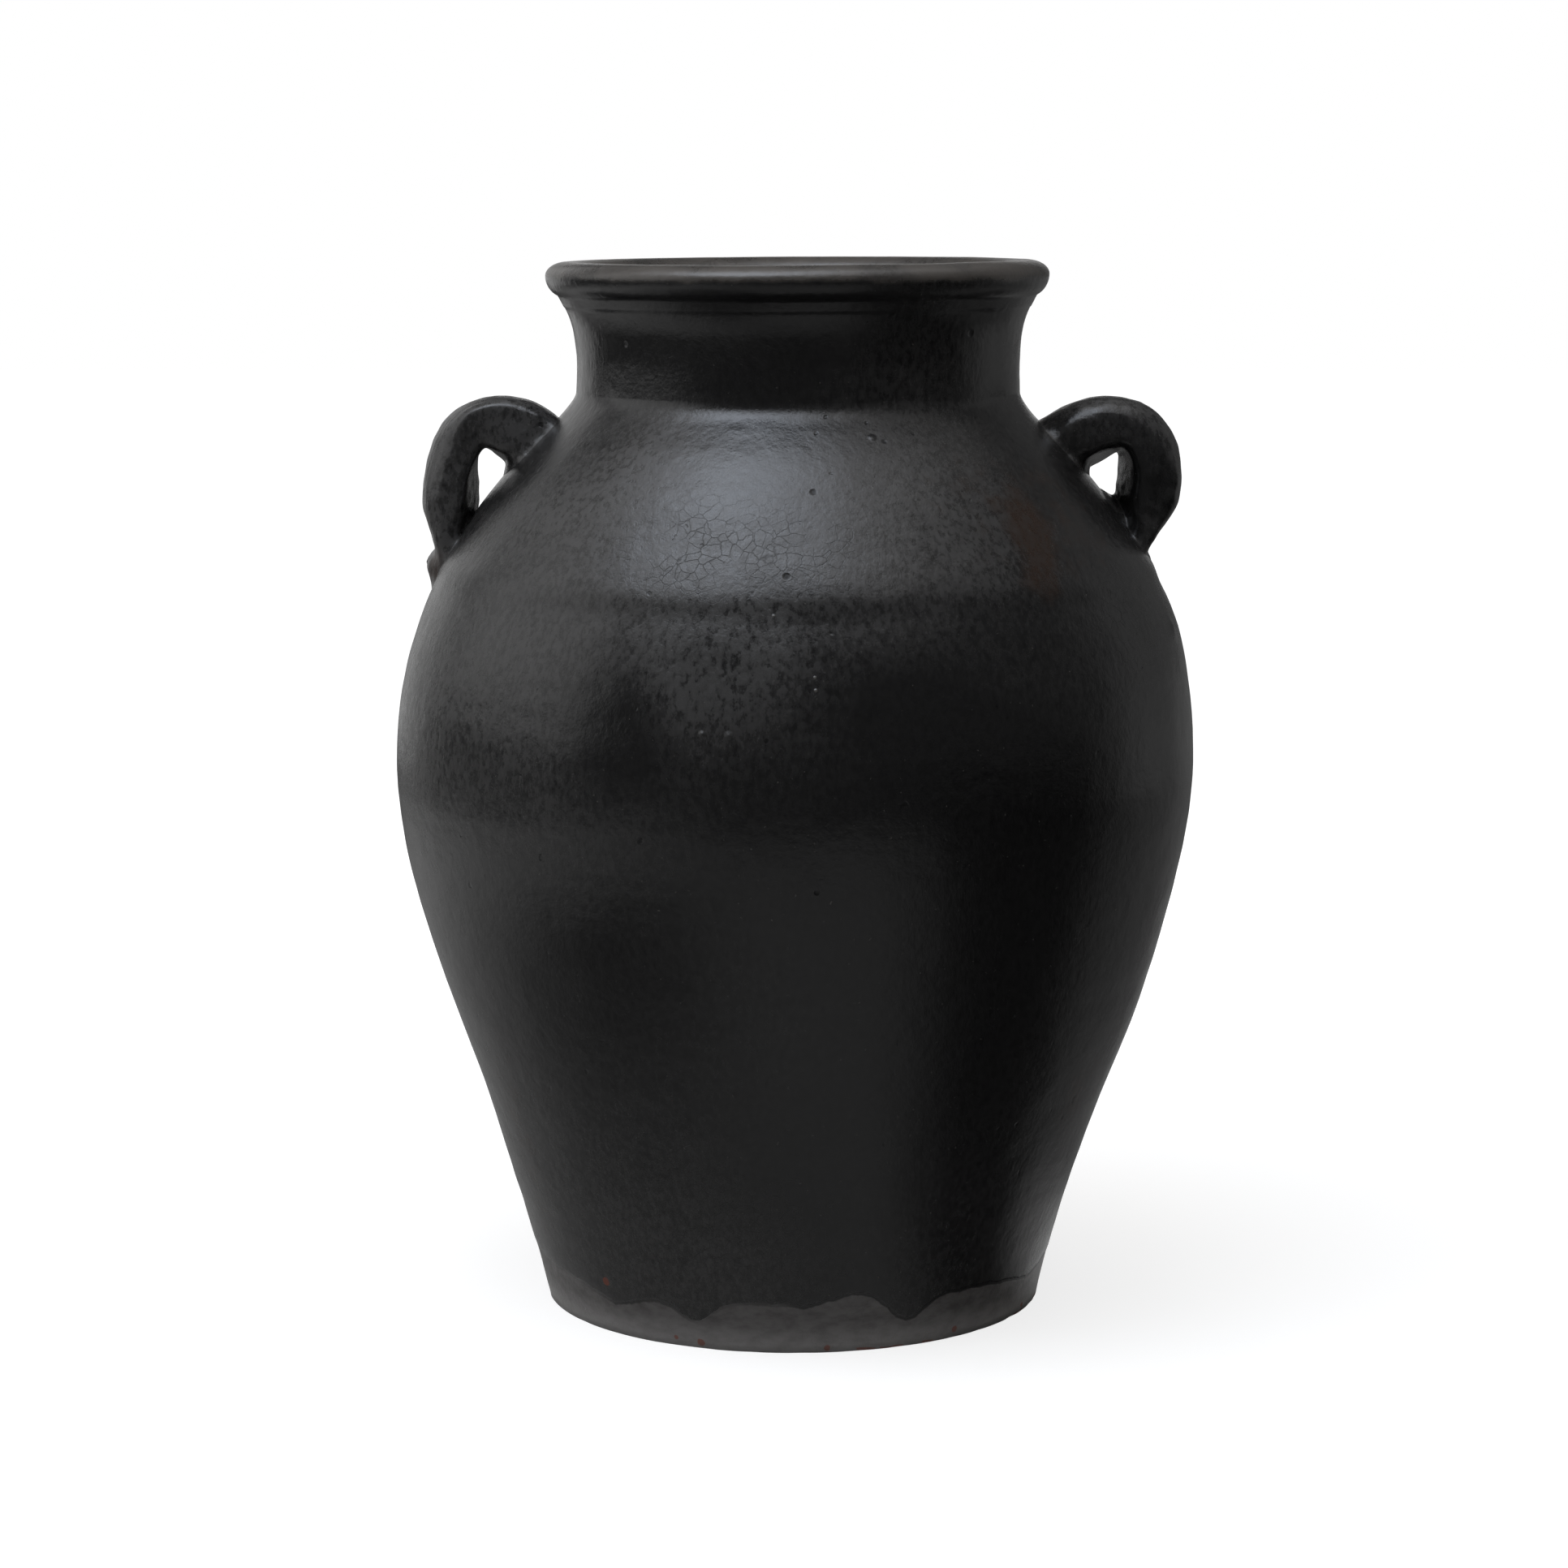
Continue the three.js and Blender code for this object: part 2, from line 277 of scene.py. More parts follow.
def hand_offset(point, normal):
    """How far the hands moved a point of the wall outwards, in metres."""
    angle = azimuth_of(point)
    ring = around(angle)
    steady = 1 - 0.6 * ease(TUCK.y, RIM_TOP - 6 * MM, point.z)
    climb = point.z * RINGS_PER_METRE + angle / (2 * math.pi)
    rings = 0.16 * noise.noise(Vector((0.4, 7.7, climb)) + ring * 0.6)
    rings += 0.05 * noise.noise(Vector((3.4, 1.7, climb * 3.1)) + ring)
    waves = 0.5 * noise.noise(point * 11) + 0.2 * noise.noise(point * 37) + 0.07 * noise.noise(point * 110)
    groove = 0.15 * math.exp(-((point.z - THROAT_GROOVE) / (6 * MM)) ** 2)
    offset = (rings + waves - INSET) * steady + shoulder_ledge(point.z) - groove
    if Vector((point.x, point.y)).length > 0.8 * FOOT.x and normal.z < 0.9:
        offset -= GLAZE_THICKNESS * (1 - ease(-1.5 * MM, 1.5 * MM, point.z - glaze_edge(angle)))
        offset += sum(rise * patch(point, *where) for *where, rise in DENTS)
    return offset * MM


# The underside stays level: its edge is drawn in and nibbled. All the rest moves along its normals.
for vert in shell_mesh.verts:
    radius = Vector((vert.co.x, vert.co.y)).length
    if radius < 1e-5:
        continue
    if vert.co.z < 0.1 * MM:
        nibble = 1.1 * MM * max(noise.noise(vert.co * 90), 0) * ease(0.9 * FOOT.x, FOOT.x, radius)
        vert.co -= Vector((vert.co.x, vert.co.y, 0)).normalized() * (0.5 * MM + nibble)
    else:
        vert.co += vert.normal * hand_offset(vert.co, vert.normal)
print("widest radius:", round(max(vert.co.x for vert in shell_mesh.verts), 4))

# %% [markdown]
# The finished jar isn't quite true: the rim is a little uneven, and dips towards the left and the
# back. The dip only lowers it, so the jar stays inside the height of the frame.

# %% Dip of the rim
# Millimetres by which the rim lies low, on average
RIM_SAG = 0.71
for vert in shell_mesh.verts:
    share = ease(THROAT.y, RIM_TOP - 8 * MM, vert.co.z)
    dip = RIM_SAG - 0.5 * vert.co.x / RIM_RADIUS + 0.35 * vert.co.y / RIM_RADIUS
    uneven = 0.22 * noise.noise(around(azimuth_of(vert.co)) * 2.5)
    vert.co.z -= share * (dip + uneven) * MM
print("highest point of the rim:", max(vert.co.z for vert in shell_mesh.verts), "of", RIM_TOP)

# %% [markdown]
# ## From mesh to finished piece
#
# Each finished piece rides on the jar's only body.
# The whole jar leans a quarter of a degree to the right, turned about the height of the belly, so
# the widest part stays where the frame has it.

# %% Finished piece
LEAN = math.tan(math.radians(0.22))


def finished(name, mesh, slot, *replaced):
    for vert in mesh.verts:
        vert.co.x += LEAN * (vert.co.z - BELLY.y)
    data = bpy.data.meshes.new(name)
    mesh.to_mesh(data)
    mesh.free()
    for face in data.polygons:
        face.use_smooth = True
    piece = bpy.data.objects.new(name, data)
    scene.collection.objects.link(piece)
    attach(piece, "root")
    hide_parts(*replaced)
    print(name, "has", len(data.polygons), "faces")
    return piece


shell = finished("thrown_shell", shell_mesh, "black_glaze",
                 "floor_slab", "lower_wall", "upper_wall", "neck_collar", "rolled_rim")

# %% [markdown]
# ## Where the surface differs
#
# Four things change over the wall at the scale of a hand: the height above the glaze edge, the dull
# film that dust and ash left in patches, which also carries painted sheen and shade, places where the
# glaze ran thin over the red clay, and patches of fine cracks. They could be painted on an image,
# which needs an unwrapped mesh. Here the mesh carries each as a point attribute, which a material
# reads like a painted mask.


# %% Point attributes
def paint(piece, name, value_at):
    attribute = piece.data.attributes.new(name, "FLOAT", "POINT")
    for vert, item in zip(piece.data.vertices, attribute.data):
        item.value = value_at(vert.co, vert.normal)
    print("painted", name)


# Patches of dust film that double as painted light: positive ones lay painted sheen and highlight where the
# glaze mirrors the lamps, as on the window of the shoulder and the left flank, and negative ones clear the
# film as painted shade.
# (azimuth, height, half width in degrees, half height in mm, amount)
FILM_AND_SHEEN_PATCHES = [
    (-13, 284, 11, 26, 1.1), (-50, 334, 12, 14, 0.5), (-64, 225, 14, 70, 0.5),
    (-25, 262, 8, 30, -0.9), (24, 190, 28, 100, -0.7), (30, 318, 13, 26, 0.35),
    (52, 300, 12, 30, -0.1), (32, 300, 12, 18, -0.35),
    (-3, 325, 16, 20, 0.35), (14, 268, 10, 18, -0.4), (150, 180, 24, 70, 0.5), (-140, 250, 20, 60, 0.5),
    (-175, 320, 14, 22, 0.6), (-14, 35, 22, 20, 0.4), (-34, 348, 9, 16, 0.8),
    (-13, 321, 8, 10, 0.9), (-36, 402, 30, 20, -0.8),
]
CRAZED_PATCHES = [
    (-16, 322, 14, 20, 1.0), (4, 326, 9, 14, 0.7), (-12, 50, 26, 32, 1.0), (60, 290, 9, 22, 0.8),
    (-70, 320, 8, 18, 0.8),
    (128, 300, 14, 30, 1.0), (-135, 320, 16, 26, 1.0), (176, 250, 14, 34, 1.0),
]
THIN_PATCHES = [
    (44, 327, 4, 12, 0.7), (41, 308, 4, 10, 0.5), (57, 105, 9, 60, 0.5), (-60, 95, 8, 60, 0.45),
    (-44, 424, 17, 9, 1.0), (60, 424, 14, 4, 0.5), (100, 260, 6, 16, 0.5), (-118, 320, 7, 14, 0.6),
    (170, 290, 8, 20, 0.6), (140, 90, 12, 30, 0.5),
]


def patched(point, base, patches):
    return min(max(base + sum(amount * patch(point, *where) for *where, amount in patches), 0), 1)


# Dust film, thicker on faces that look up, with the painted sheen and shade of the patches laid over it.
def film_and_sheen_at(point, normal):
    ring = around(azimuth_of(point))
    base = 0.30 + 0.5 * noise.noise(ring * 1.7 + Vector((0, 0, point.z * 9)))
    return patched(point, base, FILM_AND_SHEEN_PATCHES) * (0.6 + 0.4 * ease(-0.35, 0.35, normal.z))


def thin_at(point, normal):
    return patched(point, 1.1 * noise.noise(point * 9 + Vector((3.1, 0.7, 5.5))) - 0.25, THIN_PATCHES)


def crazed_at(point, normal):
    return patched(point, 0, CRAZED_PATCHES)


def above_edge(point, normal):
    """Millimetres above the glaze edge, on the outside and underneath."""
    outside = Vector((point.x, point.y)).length > 0.8 * FOOT.x or point.z < 2 * MM
    gap = (point.z - glaze_edge(azimuth_of(point))) / MM
    return min(max(gap, -30), 30) if outside else 30.0


paint(shell, "above_edge", above_edge)
paint(shell, "film_and_sheen", film_and_sheen_at)
paint(shell, "thin", thin_at)
paint(shell, "crazed", crazed_at)

# %% [markdown]
# ## The pulled handles
#
# A handle is a strap of clay pulled by a wet hand, bent over and pressed to the shoulder, and its
# roots are smeared into the wall with a thumb. Its back is rounded by the palm, its sides are flat
# up to a crease, and its inner side is flat with crisp edges. A curve with a bevel could draw it, but
# its section never changes. So the section is extruded step by step along the bend, changes its
# thickness and width, and rolls a little, so the far edge lies further in. Skirts of clay that follow
# the wall lie round the roots. A voxel remesh melts strap and skirts into one skin, and smoothing near
# the wall rounds the joint, as the thumb did.

# %% The wall under the handles
TOP_HEIGHT = 352 * MM
wall_heights = [p.y for p in wall_line]


def wall_at(height):
    """Radius and outward normal, as (radial, up), of the wall at a height."""
    i = 1
    while i < len(wall_line) - 1 and wall_heights[i] < height:
        i += 1
    below, above = wall_line[i - 1], wall_line[i]
    point = below.lerp(above, (height - below.y) / (above.y - below.y))
    along = (above - below).normalized()
    return point.x, Vector((along.y, -along.x))


def on_wall(angle, height, lift):
    """A point at a height of the wall, lifted off it along its normal."""
    radius, normal = wall_at(height)
    place = around(angle) * (radius + normal.x * lift)
    return Vector((place.x, place.y, height + normal.y * lift))


def depth_under_wall(point):
    """How deep a point lies in the wall, and the wall's normal there."""
    radius, normal = wall_at(point.z)
    return (radius - Vector((point.x, point.y)).length) * normal.x, normal


print("radius at the top roots of the handles:", round(wall_at(TOP_HEIGHT)[0], 4))

# %% Section of the strap
STRAP_SIDES = 40
STRAP_STEPS = 48
INNER_SQUARENESS = 7.0
BACK_SQUARENESS = 1.9


def section_point(turn, thickness, half_width, crease):
    """A rounded back behind a crease, flat sides and an almost flat inner side: (outwards, sideways)."""
    c, s = math.cos(turn), math.sin(turn)
    power = 2 / (BACK_SQUARENESS if c > 0 else INNER_SQUARENESS)
    reach = thickness * ((1 - crease) if c > 0 else crease)
    outwards = thickness * (crease - 0.5) + reach * math.copysign(abs(c) ** power, c)
    return outwards, half_width * math.copysign(abs(s) ** power, s)


# %% Strap
def strap(side, bend, thickness, width, roll, crease):
    """A strap swept along a cubic in the plane of the handles; side is 1 on the right, -1 on the left."""
    mesh = bmesh.new()
    ring = bmesh.ops.create_circle(mesh, segments=STRAP_SIDES, radius=1, cap_ends=True)["verts"]
    rest = [math.atan2(v.co.y, v.co.x) for v in ring]
    for step in range(STRAP_STEPS + 1):
        t = step / STRAP_STEPS
        centre = cubic(*bend, t)
        tangent = (cubic(*bend, t + 0.01) - cubic(*bend, t - 0.01)).normalized()
        out = Vector((-tangent.y, 0, tangent.x))
        turned = math.radians(roll(t))
        thick = out * math.cos(turned) + Vector((0, math.sin(turned), 0))
        across = Vector((0, math.cos(turned), 0)) - out * math.sin(turned)
        if step:
            face = [f for f in mesh.faces if all(v in ring for v in f.verts)][0]
            made = bmesh.ops.extrude_discrete_faces(mesh, faces=[face])["faces"][0]
            ring = list(made.verts)
        for vert, turn in zip(ring, rest):
            outwards, sideways = section_point(turn, thickness(t), width(t) / 2, crease(t))
            place = Vector((centre.x, 0, centre.y)) + thick * outwards + across * sideways
            vert.co = Vector((side * place.x, place.y, place.z)) * MM
    bmesh.ops.holes_fill(mesh, edges=[e for e in mesh.edges if e.is_boundary], sides=0)
    bmesh.ops.recalc_face_normals(mesh, faces=mesh.faces[:])
    return mesh


# %% Skirt
SKIRT_CLAY = 4.5 * MM
DIVE = 1.6 * MM


def skirt(side, height, half_length, half_width, rise, seed):
    """A pad of smeared clay round a root; its edge dives just under the wall's surface."""
    mesh = bmesh.new()
    grid = bmesh.ops.create_grid(mesh, x_segments=46, y_segments=46, size=1)["verts"]
    radius, normal = wall_at(height)
    for vert in grid:
        across, along = vert.co.x, vert.co.y
        place_height = height + along * half_length * normal.x * MM
        angle = side * math.pi / 2 - side * across * half_width * MM / radius
        wobble = noise.noise(Vector((across * 1.6 + seed, along * 1.6, seed)))
        reach = math.hypot(across, along) * (1.12 + 0.35 * wobble)
        lift = rise * MM * (1 - ease(0.35, 1.0, reach)) * (1 + 0.5 * wobble) - DIVE
        vert.co = on_wall(angle, place_height, lift)
    bmesh.ops.recalc_face_normals(mesh, faces=mesh.faces[:])
    faces_out = sum(side * f.normal.x for f in mesh.faces) > 0
    if not faces_out:
        bmesh.ops.reverse_faces(mesh, faces=mesh.faces[:])
    bmesh.ops.solidify(mesh, geom=mesh.faces[:], thickness=SKIRT_CLAY)
    return mesh


# %% Melt together
VOXEL = 0.9 * MM


def joined(parts):
    whole = bmesh.new()
    for part in parts:
        if part.calc_volume(signed=True) < 0:
            bmesh.ops.reverse_faces(part, faces=part.faces[:])
        data = bpy.data.meshes.new("part")
        part.to_mesh(data)
        part.free()
        whole.from_mesh(data)
        bpy.data.meshes.remove(data)
    return whole


def melted(mesh):
    """One skin round overlapping closed pieces, by a voxel remesh."""
    data = bpy.data.meshes.new("melt")
    mesh.to_mesh(data)
    mesh.free()
    holder = bpy.data.objects.new("melt", data)
    scene.collection.objects.link(holder)
    remesh = holder.modifiers.new("melt", "REMESH")
    remesh.mode = "VOXEL"
    remesh.voxel_size = VOXEL
    bpy.context.view_layer.update()
    baked = bpy.data.meshes.new_from_object(holder.evaluated_get(bpy.context.evaluated_depsgraph_get()))
    bpy.data.objects.remove(holder)
    result = bmesh.new()
    result.from_mesh(baked)
    bpy.data.meshes.remove(baked)
    return result


# %% Smooth the joints with the wall
THUMB_ROUNDS = 24


def smooth(mesh, verts, rounds):
    for _ in range(rounds):
        bmesh.ops.smooth_vert(mesh, verts=verts, factor=0.5,
                              use_axis_x=True, use_axis_y=True, use_axis_z=True)


def thumb_joints(mesh):
    """Rounds the corner between the strap and the wall, and leaves the strap's own edges alone."""
    near = [v for v in mesh.verts if -6 * MM < depth_under_wall(v.co)[0] < 3 * MM]
    smooth(mesh, near, THUMB_ROUNDS)


# %% Keep the roots inside the clay
DEEPEST = 5.5 * MM


def lift_roots(mesh):
    """Moves what lies deeper than the wall allows back out, so nothing comes through inside."""
    for vert in mesh.verts:
        for _ in range(3):
            depth, normal = depth_under_wall(vert.co)
            if depth > DEEPEST:
                outwards = around(azimuth_of(vert.co)) * normal.x + Vector((0, 0, normal.y))
                vert.co += outwards * (depth - DEEPEST)


# %% Marks of the pulling hand
GROOVE = 3.4 * MM
# Depths in millimetres
GROOVE_DEPTH = 0.05
LUMP_DEPTH = 0.6
GRAIN_DEPTH = 0.25
SINK = 0.1


def hand_pull(mesh, seed):
    """Long grooves on the strap's back, small dents and lumps all over."""
    mesh.normal_update()
    for vert in mesh.verts:
        depth, _ = depth_under_wall(vert.co)
        free = ease(2 * MM, 9 * MM, -depth)
        wander = 0.8 * MM * noise.noise(vert.co * 30 + Vector((seed, 0, 0)))
        groove = math.cos(2 * math.pi * (vert.co.y + wander) / GROOVE)
        back = ease(0.1, 0.8, vert.normal.dot(Vector((math.copysign(0.75, vert.co.x), 0, 0.66))))
        lumps = LUMP_DEPTH * noise.noise(vert.co * 55 + Vector((0, seed, 0)))
        grain = GRAIN_DEPTH * noise.noise(vert.co * 190 + Vector((0, 0, seed)))
        vert.co += vert.normal * MM * (free * GROOVE_DEPTH * groove * back + lumps + grain - SINK)


def press(mesh, x, y, z, size, depth):
    """The mark of a finger tip, in millimetres; a negative depth leaves a lump."""
    spot = Vector((x, y, z)) * MM
    mesh.normal_update()
    for vert in mesh.verts:
        gap = (vert.co - spot).length / (size * MM / 2)
        if gap < 2:
            vert.co -= vert.normal * depth * MM * math.exp(-gap * gap)


# %% The two handles
# Millimetres along X and Z, from the root at the neck to the root on the shoulder.
RIGHT_BEND = [Vector(p) for p in ((104, 352.4), (150, 384), (158, 343), (130.5, 303))]
LEFT_BEND = [Vector(p) for p in ((104, 355), (143, 381.5), (147.5, 345), (140, 302))]
# Skirts: (height, half length, half width, rise), in millimetres apart from the height.
RIGHT_SKIRTS = [(TOP_HEIGHT, 19, 32, 4.6), (330 * MM, 15, 24, 3.4), (313 * MM, 17, 27, 3.2)]
LEFT_SKIRTS = [(TOP_HEIGHT, 19, 32, 4.6), (309 * MM, 19, 27, 6.4)]
# Finger marks: (x, y, z, size, depth) in millimetres
RIGHT_MARKS = [(110, -21, 352, 8, 1.4), (103, -24, 350, 7, 1.1),
               (141, -2, 374, 3, -0.6), (151, -2, 364, 6, 0.6)]
LEFT_MARKS = [(-106, -23, 352, 8, 1.3), (-113, -22, 346, 6, 1.0), (-151, -6, 306, 9, -1.0)]
SMOOTHING = 2


def right_thickness(t):
    return 26 - 4.5 * ease(0.05, 0.35, t) + 1.5 * ease(0.4, 0.55, t) - 12.5 * ease(0.72, 0.9, t)


def right_roll(t):
    return 14 - 9 * ease(0.15, 0.38, t) + 7 * ease(0.42, 0.68, t)


def right_crease(t):
    return 0.52 + 0.16 * ease(0.5, 0.7, t)


def left_thickness(t):
    return 27 - 7.4 * ease(0.05, 0.34, t) + ease(0.5, 0.7, t) - 8.5 * ease(0.75, 0.93, t)


def left_roll(t):
    return 9 - 12 * ease(0.12, 0.42, t) + 13 * ease(0.47, 0.78, t)


def left_crease(t):
    return 0.74 - 0.32 * ease(0.3, 0.55, t)


def strap_width(t):
    return 38 - 4.5 * ease(0.0, 0.3, t) + 5 * ease(0.75, 1.0, t)


def make_handle(side_name, side, bend, thickness, roll, crease, skirt_sizes, marks, seed):
    strap_mesh = strap(side, bend, thickness, strap_width, roll, crease)
    skirts = [skirt(side, *sizes, seed + 2 * i) for i, sizes in enumerate(skirt_sizes)]
    mesh = melted(joined([strap_mesh] + skirts))
    smooth(mesh, mesh.verts[:], SMOOTHING)
    thumb_joints(mesh)
    lift_roots(mesh)
    hand_pull(mesh, seed)
    for mark in marks:
        press(mesh, *mark)
    bmesh.ops.recalc_face_normals(mesh, faces=mesh.faces[:])
    return finished(f"pulled_{side_name}", mesh, "handle_glaze", f"{side_name}_handle",
                    f"{side_name}_handle_top_pad", f"{side_name}_handle_foot_pad")


right_handle = make_handle("right", 1, RIGHT_BEND, right_thickness, right_roll, right_crease,
                           RIGHT_SKIRTS, RIGHT_MARKS, 3.0)
left_handle = make_handle("left", -1, LEFT_BEND, left_thickness, left_roll, left_crease,
                          LEFT_SKIRTS, LEFT_MARKS, 8.0)


# %% [markdown]
# Dust settles on what faces up, and the film on a handle is dust and painted sheen together. It follows
# the direction in which the surface looks, paler where it looks up and out towards the overhead box
# and the reflector at its side, broken up by a slow noise.

# %% Film and painted sheen on the handles
def handle_film_and_sheen(point, normal):
    side = math.copysign(1, point.x)
    facing = ease(-0.1, 0.85, normal.dot(Vector((0.62 * side, 0, 0.78))))
    amount = facing * (0.75 + 0.5 * noise.noise(point * 60)) + 0.66 + 0.5 * noise.noise(point * 28)
    return min(max(amount - 0.2 * (side + 1), 0), 1)


paint(right_handle, "film_and_sheen", handle_film_and_sheen)
paint(left_handle, "film_and_sheen", handle_film_and_sheen)


# %% [markdown]
# ## Shader maths
#
# Masks read best as expressions. A small class wraps a socket and overloads the operators that are
# used, and each operator adds the Math node that it stands for. Colours are mixed by Mix nodes.

# %% Socket class
class Value:
    """A socket on which Python's operators make Math nodes."""

    def __init__(self, tree, socket):
        self.tree = tree
        self.socket = socket

    def math(self, operation, first, second=0.0):
        node = self.tree.nodes.new("ShaderNodeMath")
        node.operation = operation
        for socket, value in zip(node.inputs, (first, second)):
            if isinstance(value, Value):
                self.tree.links.new(value.socket, socket)
            else:
                socket.default_value = value
        return Value(self.tree, node.outputs[0])

    def __add__(self, other):
        return self.math("ADD", self, other)

    def __sub__(self, other):
        return self.math("SUBTRACT", self, other)

    def __rsub__(self, other):
        return self.math("SUBTRACT", other, self)

    def __mul__(self, other):
        return self.math("MULTIPLY", self, other)

    __radd__ = __add__
    __rmul__ = __mul__


# %% Tree class
class Tree:
    """The node tree of a material or a world, with one method that makes any node."""

    def __init__(self, owner):
        owner.use_nodes = True
        self.tree = owner.node_tree

    def node(self, kind, settings=None, sockets=None, output=0):
        made = self.tree.nodes.new(kind)
        for key, value in (settings or {}).items():
            setattr(made, key, value)
        for key, value in (sockets or {}).items():
            self.plug(made.inputs[key], value)
        return Value(self.tree, made.outputs[output])

    def plug(self, socket, value):
        if isinstance(value, Value):
            self.tree.links.new(value.socket, socket)
        else:
            socket.default_value = value

    def ramp(self, value, low, high):
        """0 below low, 1 above high and an eased step between them."""
        return self.node("ShaderNodeMapRange", {"interpolation_type": "SMOOTHSTEP"}, {
            "Value": value, "From Min": low, "From Max": high})


# %% Finish class
class Finish(Tree):
    """A material with its surface shader and the patterns that a finish is made of."""

    def __init__(self, name):
        self.material = bpy.data.materials.new(name)
        super().__init__(self.material)
        self.surface = self.tree.nodes["Principled BSDF"]
        self.place = self.node("ShaderNodeTexCoord", output="Object")

    def set(self, socket, value):
        self.plug(self.surface.inputs[socket], value)

    def vector(self, operation, *values, output=0):
        return self.node("ShaderNodeVectorMath", {"operation": operation}, dict(enumerate(values)), output)

    def axis(self, name):
        return self.node("ShaderNodeSeparateXYZ", {}, {0: self.place}, output=name)

    def stretched(self, x, y, z, shift=(0, 0, 0)):
        return self.node("ShaderNodeMapping", {}, {
            "Vector": self.place, "Location": shift, "Scale": (x, y, z)})

    def meridian(self, across, along):
        """Coordinates that run round the jar and up it, so that a pattern can follow the wall."""
        ring = self.vector("NORMALIZE", self.vector("MULTIPLY", self.place, (1, 1, 0)))
        climb = self.vector("MULTIPLY", self.place, (0, 0, along))
        return self.vector("MULTIPLY_ADD", ring, (across,) * 3, climb)

    def noise(self, scale, detail=4.0, vector=None, roughness=0.55):
        return self.node("ShaderNodeTexNoise", {}, {
            "Vector": vector or self.place, "Scale": scale, "Detail": detail, "Roughness": roughness})

    def blend(self, first, second, share):
        """Mixes two colours, which are inputs 6 and 7 and output 2 of the node."""
        return self.node("ShaderNodeMix", {"data_type": "RGBA"},
                         {6: first, 7: second, 0: share}, output=2)

    def attribute(self, name):
        return self.node("ShaderNodeAttribute", {"attribute_name": name}, output="Fac")

    def spot(self, centre, size, core=0.2):
        """1 inside the core of a round spot of a size, at a place on the piece."""
        gap = self.vector("DISTANCE", self.place, centre, output=1)
        return 1 - self.ramp(gap, core * size, 0.6 * size)


# %% [markdown]
# ## The glaze
#
# Seen close up the glaze is a thin black skin over red clay. A dull film lies on it in patches, and
# the film is broken by small glossy spots where the clean glaze shows. The film's paler colour also
# paints sheen and highlights where the glaze mirrors the lamps. A net of fine cracks runs through it,
# and where it ran thin the clay shows through as brown. Every one of these is a mask made of noise at
# its own scale, and the masks drive colour, roughness and a shallow bump together.

# %% Colours of the clay and the glaze
RED_CLAY = (0.23, 0.050, 0.022, 1)
BLACK = (0.0062, 0.0060, 0.0061, 1)
# Pale colour of the dust film, also used for painted sheen.
FILM_AND_SHEEN = (0.044, 0.0425, 0.041, 1)
BROWN = (0.030, 0.0165, 0.0105, 1)
# Dark of the cracks and pits, also used for painted shade under the glaze edge on the foot.
CRACK_AND_SHADE = (0.003, 0.003, 0.003, 1)
DUST = (0.10, 0.095, 0.085, 1)


# %% Cracks
CELLS_PER_METRE = 190
CRACK_WIDTH = 0.040


def crackle(finish):
    """1 on the lines of an irregular net, 0 inside its cells."""
    drift = finish.node("ShaderNodeTexNoise", {}, {
        "Vector": finish.place, "Scale": CELLS_PER_METRE * 0.45, "Detail": 3.0}, output="Color")
    bent = finish.vector("MULTIPLY_ADD", drift, (1.3 / CELLS_PER_METRE,) * 3, finish.place)
    edge = finish.node("ShaderNodeTexVoronoi", {"feature": "DISTANCE_TO_EDGE"}, {
        "Vector": bent, "Scale": CELLS_PER_METRE})
    return 1 - finish.ramp(edge, 0.0, CRACK_WIDTH)


# %% The glaze all over
def glaze_layers(finish, gloss, film_and_sheen, thin, crazed, streaks):
    """Colour, roughness and height of the glaze, from masks for the film, thin places and cracks."""
    upright = finish.stretched(1, 1, 0.62)
    fine = finish.ramp(finish.noise(420, 5, upright, roughness=0.62), 0.74, 0.30)
    broad = finish.ramp(finish.noise(115, 6, roughness=0.66), 0.24, 0.76)
    cloud = finish.ramp(finish.noise(38, 5, roughness=0.62), 0.28, 0.72)
    broken = fine * 1.2 + (1 - broad) * 0.36 + cloud * 0.32 + streaks * 0.14 - 0.24
    film_and_sheen = film_and_sheen * broken + fine * 0.12
    speck = finish.ramp(finish.noise(800, 1), 0.765, 0.80)
    pit = finish.ramp(finish.noise(210, 1, finish.stretched(1, 1, 1, (3, 1, 2))), 0.74, 0.82)
    crack = crackle(finish) * crazed * finish.ramp(finish.noise(70, 3), 0.34, 0.52)

    # The film mask paints dust and, in its patches, painted sheen and highlight as a paler colour.
    colour = finish.blend(BLACK, FILM_AND_SHEEN, film_and_sheen)
    colour = finish.blend(colour, BROWN, thin * (1 - fine * 0.4))
    colour = finish.blend(colour, CRACK_AND_SHADE, crack * 0.75 + pit * 0.8)
    colour = finish.blend(colour, DUST, speck * 0.6)
    rough = gloss + film_and_sheen * 0.14 + thin * 0.04 + crack * 0.15 + (1 - broad) * 0.05
    height = finish.noise(250, 5, roughness=0.70) * 1.15 + finish.noise(70, 4) * 1.7
    height = height + film_and_sheen * 0.2 - crack * 0.32 - pit * 0.6
    return colour, rough, height


BUMP_DEPTH = 0.25 * MM


def surface(finish, colour, rough, height):
    bump = finish.node("ShaderNodeBump", {}, {
        "Strength": 0.8, "Distance": BUMP_DEPTH, "Height": height}, output="Normal")
    finish.set("Base Color", colour)
    finish.set("Roughness", rough)
    finish.set("Normal", bump)


# %% [markdown]
# The small flaws that catch the eye have their own places: each is a round spot a few millimetres
# across. A pit is a dark hole, a grain is a pale crumb stuck in the glaze, a lump is a bubble under
# it, and a chip shows the red clay.

